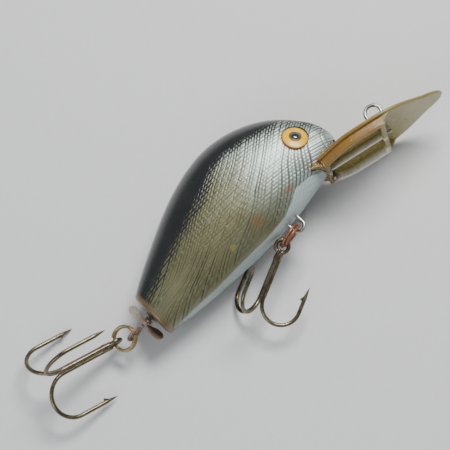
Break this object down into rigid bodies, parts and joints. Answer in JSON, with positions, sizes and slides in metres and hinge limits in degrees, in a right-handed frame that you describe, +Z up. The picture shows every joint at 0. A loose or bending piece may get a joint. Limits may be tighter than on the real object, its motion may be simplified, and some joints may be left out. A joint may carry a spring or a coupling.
{
  "type": "crankbait fishing lure",
  "caption": "Deep-diving crankbait lying on its side: hollow humped body, long clear lip, wire line tie, tail propeller, swinging treble hooks on split rings.",
  "frame": {"origin": "centre of the bounding box on the ground, with the lure lying on its left flank", "axes": "+X towards the nose, +Y towards the back, +Z up, out of the right flank"},
  "size_m": [0.1028, 0.0388, 0.021],
  "materials": {
    "silver_shell": "silver paint over a moulded crosshatch, black back and pale belly",
    "amber_clear": "clear plastic yellowed with age",
    "chrome_wire": "bright plated wire",
    "steel_wire": "dull plated steel",
    "eye_yellow": "glossy yellow-orange",
    "pupil_black": "glossy black",
    "ballast_metal": "bare cast metal",
    "prop_metal": "stamped bright sheet metal with rust at the hub",
    "rusty_ring": "steel with copper-coloured rust",
    "hook_bronze": "bronzed steel wire, worn to bare metal"
  },
  "bodies": {
    "lure": {"body_shell_left": "silver_shell", "body_shell_right": "silver_shell", "diving_lip": "amber_clear", "lip_pin": "steel_wire", "line_tie": "chrome_wire", "eye_left": "eye_yellow", "eye_right": "eye_yellow", "pupil_left": "pupil_black", "pupil_right": "pupil_black", "belly_hanger": "chrome_wire", "tail_wire": "steel_wire", "ballast_weight": "ballast_metal", "cup_washer": "steel_wire"},
    "rattle": {"rattle_ball": "steel_wire"},
    "prop": {"propeller": "prop_metal", "shaft_bead": "prop_metal"},
    "belly_ring": {"belly_split_ring": "rusty_ring"},
    "belly_treble": {"belly_treble_double": "hook_bronze", "belly_treble_single": "hook_bronze"},
    "tail_ring": {"tail_split_ring": "rusty_ring"},
    "tail_treble": {"tail_treble_double": "hook_bronze", "tail_treble_single": "hook_bronze"}
  },
  "joints": [
    {"name": "propeller_spin", "type": "hinge", "parent": "lure", "child": "prop", "pos_m": [-0.02565, 0.00206, 0.00614], "axis": [0.9976, 0.0037, 0.0697], "continuous": true},
    {"name": "belly_ring_swing", "type": "hinge", "parent": "lure", "child": "belly_ring", "pos_m": [0.01061, -0.00625, 0.00911], "axis": [-0.0529, -0.0648, 0.9965], "range_deg": [0, 80]},
    {"name": "belly_treble_swing", "type": "hinge", "parent": "belly_ring", "child": "belly_treble", "pos_m": [0.00528, -0.00701, 0.00878], "axis": [-0.0529, -0.0648, 0.9965], "range_deg": [0, 50]},
    {"name": "tail_ring_swing", "type": "hinge", "parent": "lure", "child": "tail_ring", "pos_m": [-0.02869, 0.00205, 0.00592], "axis": [0.4689, 0.8831, -0.0136], "range_deg": [-45, 45]},
    {"name": "tail_treble_swing", "type": "hinge", "parent": "tail_ring", "child": "tail_treble", "pos_m": [-0.03271, 0.00415, 0.00382], "axis": [0.4689, 0.8831, -0.0136], "range_deg": [-45, 30]},
    {"name": "rattle_slide", "type": "slide", "parent": "lure", "child": "rattle", "axis": [0.9976, 0.0037, 0.0697], "range_m": [-0.003, 0.003]}
  ]
}
